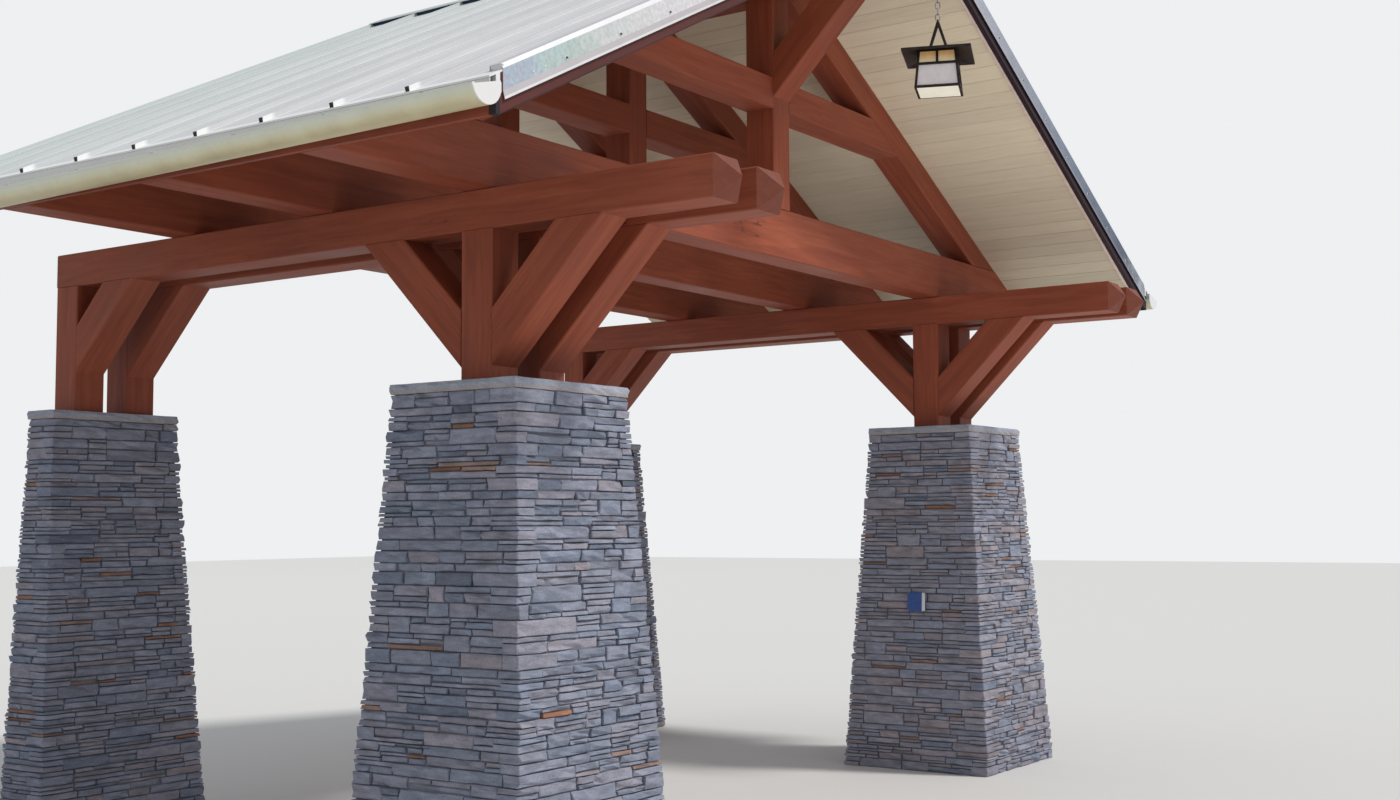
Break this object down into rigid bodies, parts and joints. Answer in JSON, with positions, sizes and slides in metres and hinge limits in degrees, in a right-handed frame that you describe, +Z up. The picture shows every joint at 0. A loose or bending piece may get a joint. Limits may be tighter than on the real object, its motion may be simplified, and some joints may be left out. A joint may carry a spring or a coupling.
{
  "type": "gabled timber porch canopy on stone piers",
  "caption": "Open porch canopy: gabled ribbed metal roof on exposed timber trusses, paired beams and braced posts, standing on tapered stone piers, with a lantern hung from the ridge.",
  "frame": {"origin": "Ground level, half-way across the gable and half-way between the points of the beams and the wall plane.", "axes": "X runs across the gable, +Y points towards the wall, +Z is up."},
  "size_m": [7.92, 4.86, 5.5289],
  "materials": {
    "stone": "split face",
    "cap_stone": "honed, rough edges",
    "timber": "red-brown stain",
    "ceiling_boards": "cream stain",
    "roof_deck": "bare",
    "roof_metal": "satin",
    "trim_metal": "weathered satin",
    "gutter_metal": "satin",
    "bronze": "dark bronze",
    "lantern_glass": "frosted"
  },
  "bodies": {
    "root": {"front_left_pier": "stone", "front_right_pier": "stone", "rear_left_pier": "stone", "rear_right_pier": "stone", "front_caps": "cap_stone", "rear_caps": "cap_stone", "front_left_posts": "timber", "front_right_posts": "timber", "rear_left_posts": "timber", "rear_right_posts": "timber", "front_left_braces": "timber", "front_right_braces": "timber", "rear_left_braces": "timber", "rear_right_braces": "timber", "left_outer_beam": "timber", "left_inner_beam": "timber", "right_inner_beam": "timber", "right_outer_beam": "timber", "front_chord": "timber", "middle_chord": "timber", "rear_chord": "timber", "front_rafters": "timber", "middle_rafters": "timber", "rear_rafters": "timber", "king_posts": "timber", "collars": "timber", "ridge_beam": "timber", "ridge_brace": "timber", "left_ceiling": "ceiling_boards", "right_ceiling": "ceiling_boards", "left_roof_deck": "roof_deck", "right_roof_deck": "roof_deck", "left_roof_sheets": "roof_metal", "right_roof_sheets": "roof_metal", "ridge_cap": "roof_metal", "rake_boards": "timber", "rake_trims": "trim_metal", "eave_boards": "timber", "left_gutter": "gutter_metal", "right_gutter": "gutter_metal", "lantern_chain": "bronze", "lantern_roof": "bronze", "lantern_frame": "bronze", "lantern_glass": "lantern_glass"}
  },
  "joints": []
}
